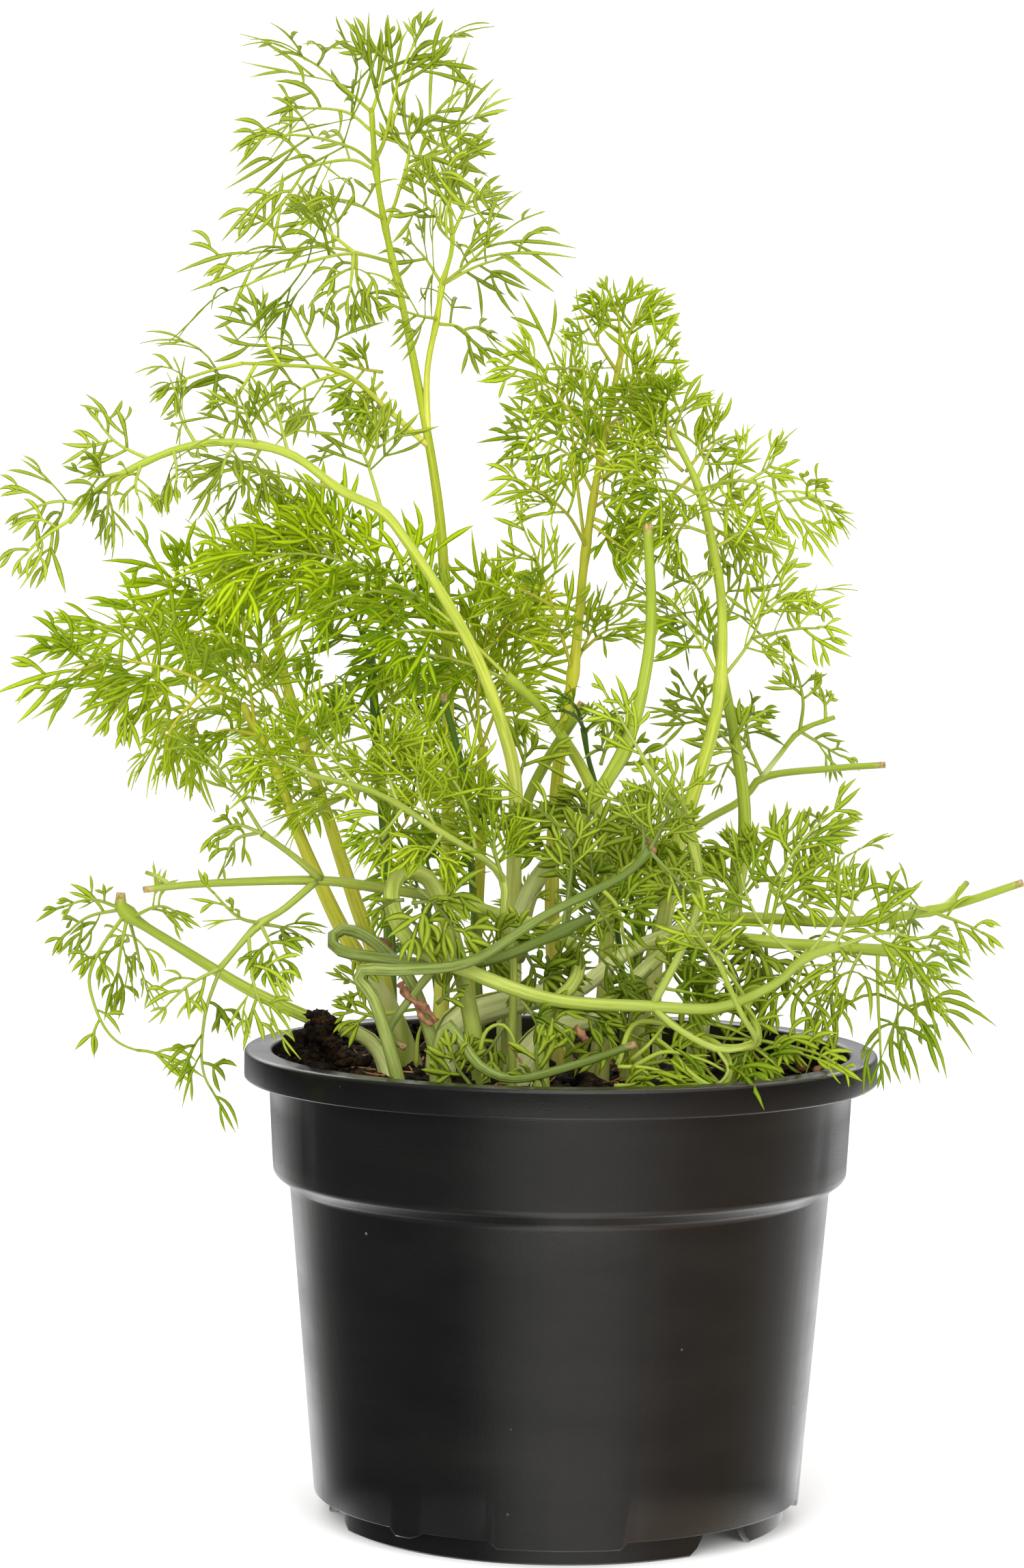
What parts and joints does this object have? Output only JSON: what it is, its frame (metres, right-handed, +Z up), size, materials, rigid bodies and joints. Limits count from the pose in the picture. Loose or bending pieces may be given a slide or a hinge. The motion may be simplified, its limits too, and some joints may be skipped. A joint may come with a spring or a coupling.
{
  "type": "potted dill",
  "caption": "Dill plant in its black plastic nursery pot: feathery thread-leaved fronds on upright, leaning and trailing stems over dark peat.",
  "frame": {"origin": "centre of the pot's underside, on the surface it stands on", "axes": "+Z up along the pot's axis, -Y towards the viewer of the picture, +X to that viewer's right"},
  "size_m": [0.2042, 0.13, 0.3093],
  "materials": {
    "pot": "satin black polypropylene",
    "soil": "matt dark peat with brown fibres",
    "foliage_bright": "satin yellow-green leaf and stem",
    "foliage_mid": "satin mid-green leaf and stem",
    "foliage_dark": "satin dark green leaf and stem"
  },
  "bodies": {
    "root": {"pot": "pot", "soil": "soil", "frond_tall": "foliage_bright", "frond_arching": "foliage_bright", "frond_swept": "foliage_bright", "frond_left_front": "foliage_bright", "frond_left_back": "foliage_mid", "frond_green_back": "foliage_dark", "frond_middle_back": "foliage_mid", "frond_centre_right": "foliage_bright", "frond_right": "foliage_bright", "frond_right_back": "foliage_bright", "frond_cut_right": "foliage_mid", "frond_long_right": "foliage_mid", "frond_lying_right": "foliage_mid", "frond_loop_front": "foliage_bright", "frond_cut_left": "foliage_bright", "frond_low_left": "foliage_bright", "frond_kinked": "foliage_mid", "frond_bent_front": "foliage_mid", "stem_along_soil": "foliage_mid", "frond_feathery": "foliage_bright", "frond_bushy_back": "foliage_dark", "frond_short_back": "foliage_dark", "stem_cut_dark": "foliage_dark", "stem_cut_pale": "foliage_mid", "frond_dark_stalk": "foliage_dark", "frond_seedling": "foliage_bright"}
  },
  "joints": []
}
